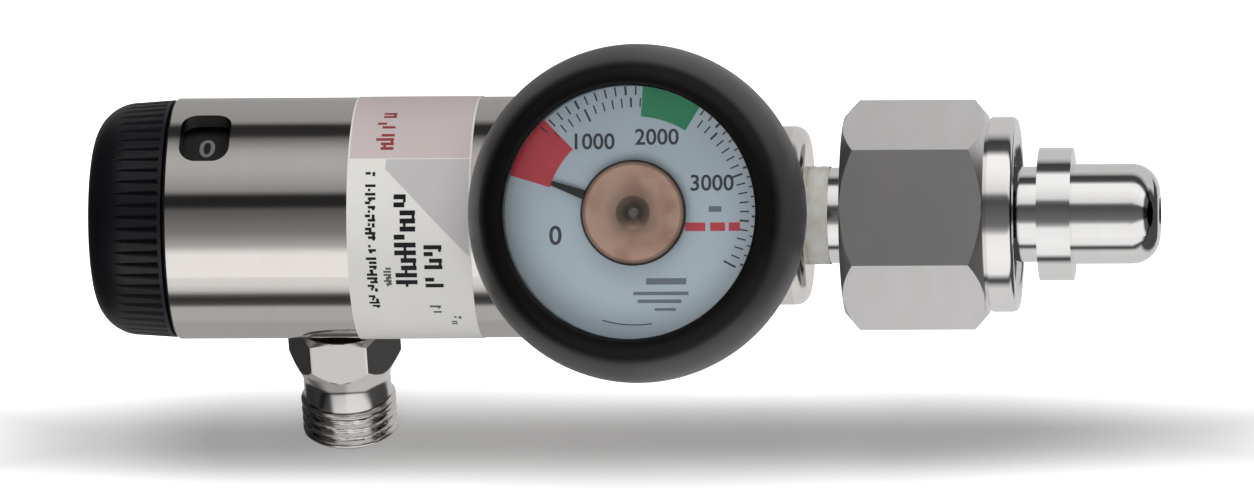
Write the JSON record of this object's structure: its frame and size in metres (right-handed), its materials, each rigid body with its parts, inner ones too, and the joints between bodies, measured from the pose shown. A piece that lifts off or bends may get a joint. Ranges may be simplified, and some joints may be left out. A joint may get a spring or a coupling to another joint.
{
  "type": "oxygen pressure regulator",
  "caption": "Plated cylinder regulator with a ribbed flow knob, number window, booted contents gauge, threaded outlet, and a sliding hexagon nut on its inlet nipple.",
  "frame": {"origin": "centre of the front face of the inlet nipple's shoulder, where it seats on the cylinder valve", "axes": "+X along the main axis and out of the inlet nipple, -Z out of the outlet, the gauge faces -Y tilted 30 degrees up"},
  "size_m": [0.1533, 0.0616, 0.0726],
  "materials": {
    "plated_brass": "bright chrome plating over brass",
    "knob_plastic": "satin black moulding",
    "drum_plastic": "black with pale numerals",
    "label_film": "printed white film",
    "boot_rubber": "dull black rubber",
    "clear_window": "clear moulded window",
    "dial_paint": "printed pale dial",
    "pointer_paint": "black paint",
    "copper_disc": "copper-coloured plating",
    "steel": "ground stainless steel",
    "spring_steel": "drawn spring wire",
    "bare_brass": "machined brass",
    "bronze": "sintered or drawn bronze",
    "seal_rubber": "black seal rubber",
    "seat_plastic": "pale seat plastic",
    "block_alloy": "machined aluminium",
    "hard_steel": "polished hard steel"
  },
  "bodies": {
    "regulator": {"regulator_body": "plated_brass", "body_label": "label_film", "inlet_nipple": "plated_brass", "inlet_filter": "bronze", "filter_clip": "spring_steel", "seat_nozzle": "bare_brass", "flow_block": "block_alloy", "block_seal": "seal_rubber", "shaft_seal": "seal_rubber", "port_seal": "seat_plastic", "stop_pin": "steel", "outlet_fitting": "plated_brass", "outlet_seal": "seal_rubber", "gauge_boot": "boot_rubber", "gauge_lens": "clear_window", "gauge_dial": "dial_paint", "gauge_case": "steel", "gauge_socket": "bare_brass", "bourdon_coil": "bronze", "piston_spring": "spring_steel", "relief_spring": "spring_steel", "relief_cap": "bare_brass", "detent_spring": "spring_steel"},
    "selector": {"flow_knob": "knob_plastic", "knob_cap": "knob_plastic", "knob_screw": "steel", "number_drum": "drum_plastic", "selector_shaft": "steel", "orifice_disc": "steel", "disc_clip": "spring_steel"},
    "nut_carrier": {"nut_ring": "seal_rubber"},
    "nut": {"coupling_nut": "plated_brass"},
    "pointer": {"gauge_pointer": "pointer_paint", "pointer_hub": "copper_disc", "gauge_spindle": "steel"},
    "piston": {"piston": "bare_brass", "seat_pad": "seat_plastic", "piston_stem_seal": "seal_rubber", "piston_head_seal": "seal_rubber"},
    "relief": {"relief_poppet": "bare_brass", "relief_pad": "seal_rubber"},
    "click": {"detent_ball": "hard_steel"}
  },
  "joints": [
    {"name": "knob_turn", "type": "hinge", "parent": "regulator", "child": "selector", "pos_m": [-0.1292, 0, 0], "axis": [-1, 0, 0], "range_deg": [0, 330]},
    {"name": "nut_slide", "type": "slide", "parent": "regulator", "child": "nut_carrier", "axis": [1, 0, 0], "range_m": [-0.0043, 0.0197]},
    {"name": "nut_turn", "type": "hinge", "parent": "nut_carrier", "child": "nut", "pos_m": [-0.0286, 0, 0], "axis": [1, 0, 0], "continuous": true},
    {"name": "pointer_turn", "type": "hinge", "parent": "regulator", "child": "pointer", "pos_m": [-0.05985, -0.0278, 0.01605], "axis": [0, 0.866, -0.5], "range_deg": [0, 190], "stiffness_Nm_per_rad": 0.0005, "deforming": ["bourdon_coil"]},
    {"name": "piston_slide", "type": "slide", "parent": "regulator", "child": "piston", "axis": [1, 0, 0], "range_m": [0, 0.00078], "stiffness_N_per_m": 8000, "deforming": ["piston_spring"]},
    {"name": "relief_lift", "type": "slide", "parent": "regulator", "child": "relief", "axis": [0, 1, 0], "range_m": [0, 0.0008], "stiffness_N_per_m": 1500, "springref_m": -0.002, "deforming": ["relief_spring"]},
    {"name": "click_slide", "type": "slide", "parent": "regulator", "child": "click", "axis": [-1, 0, 0], "range_m": [0, 0.0005], "stiffness_N_per_m": 500, "deforming": ["detent_spring"]}
  ]
}
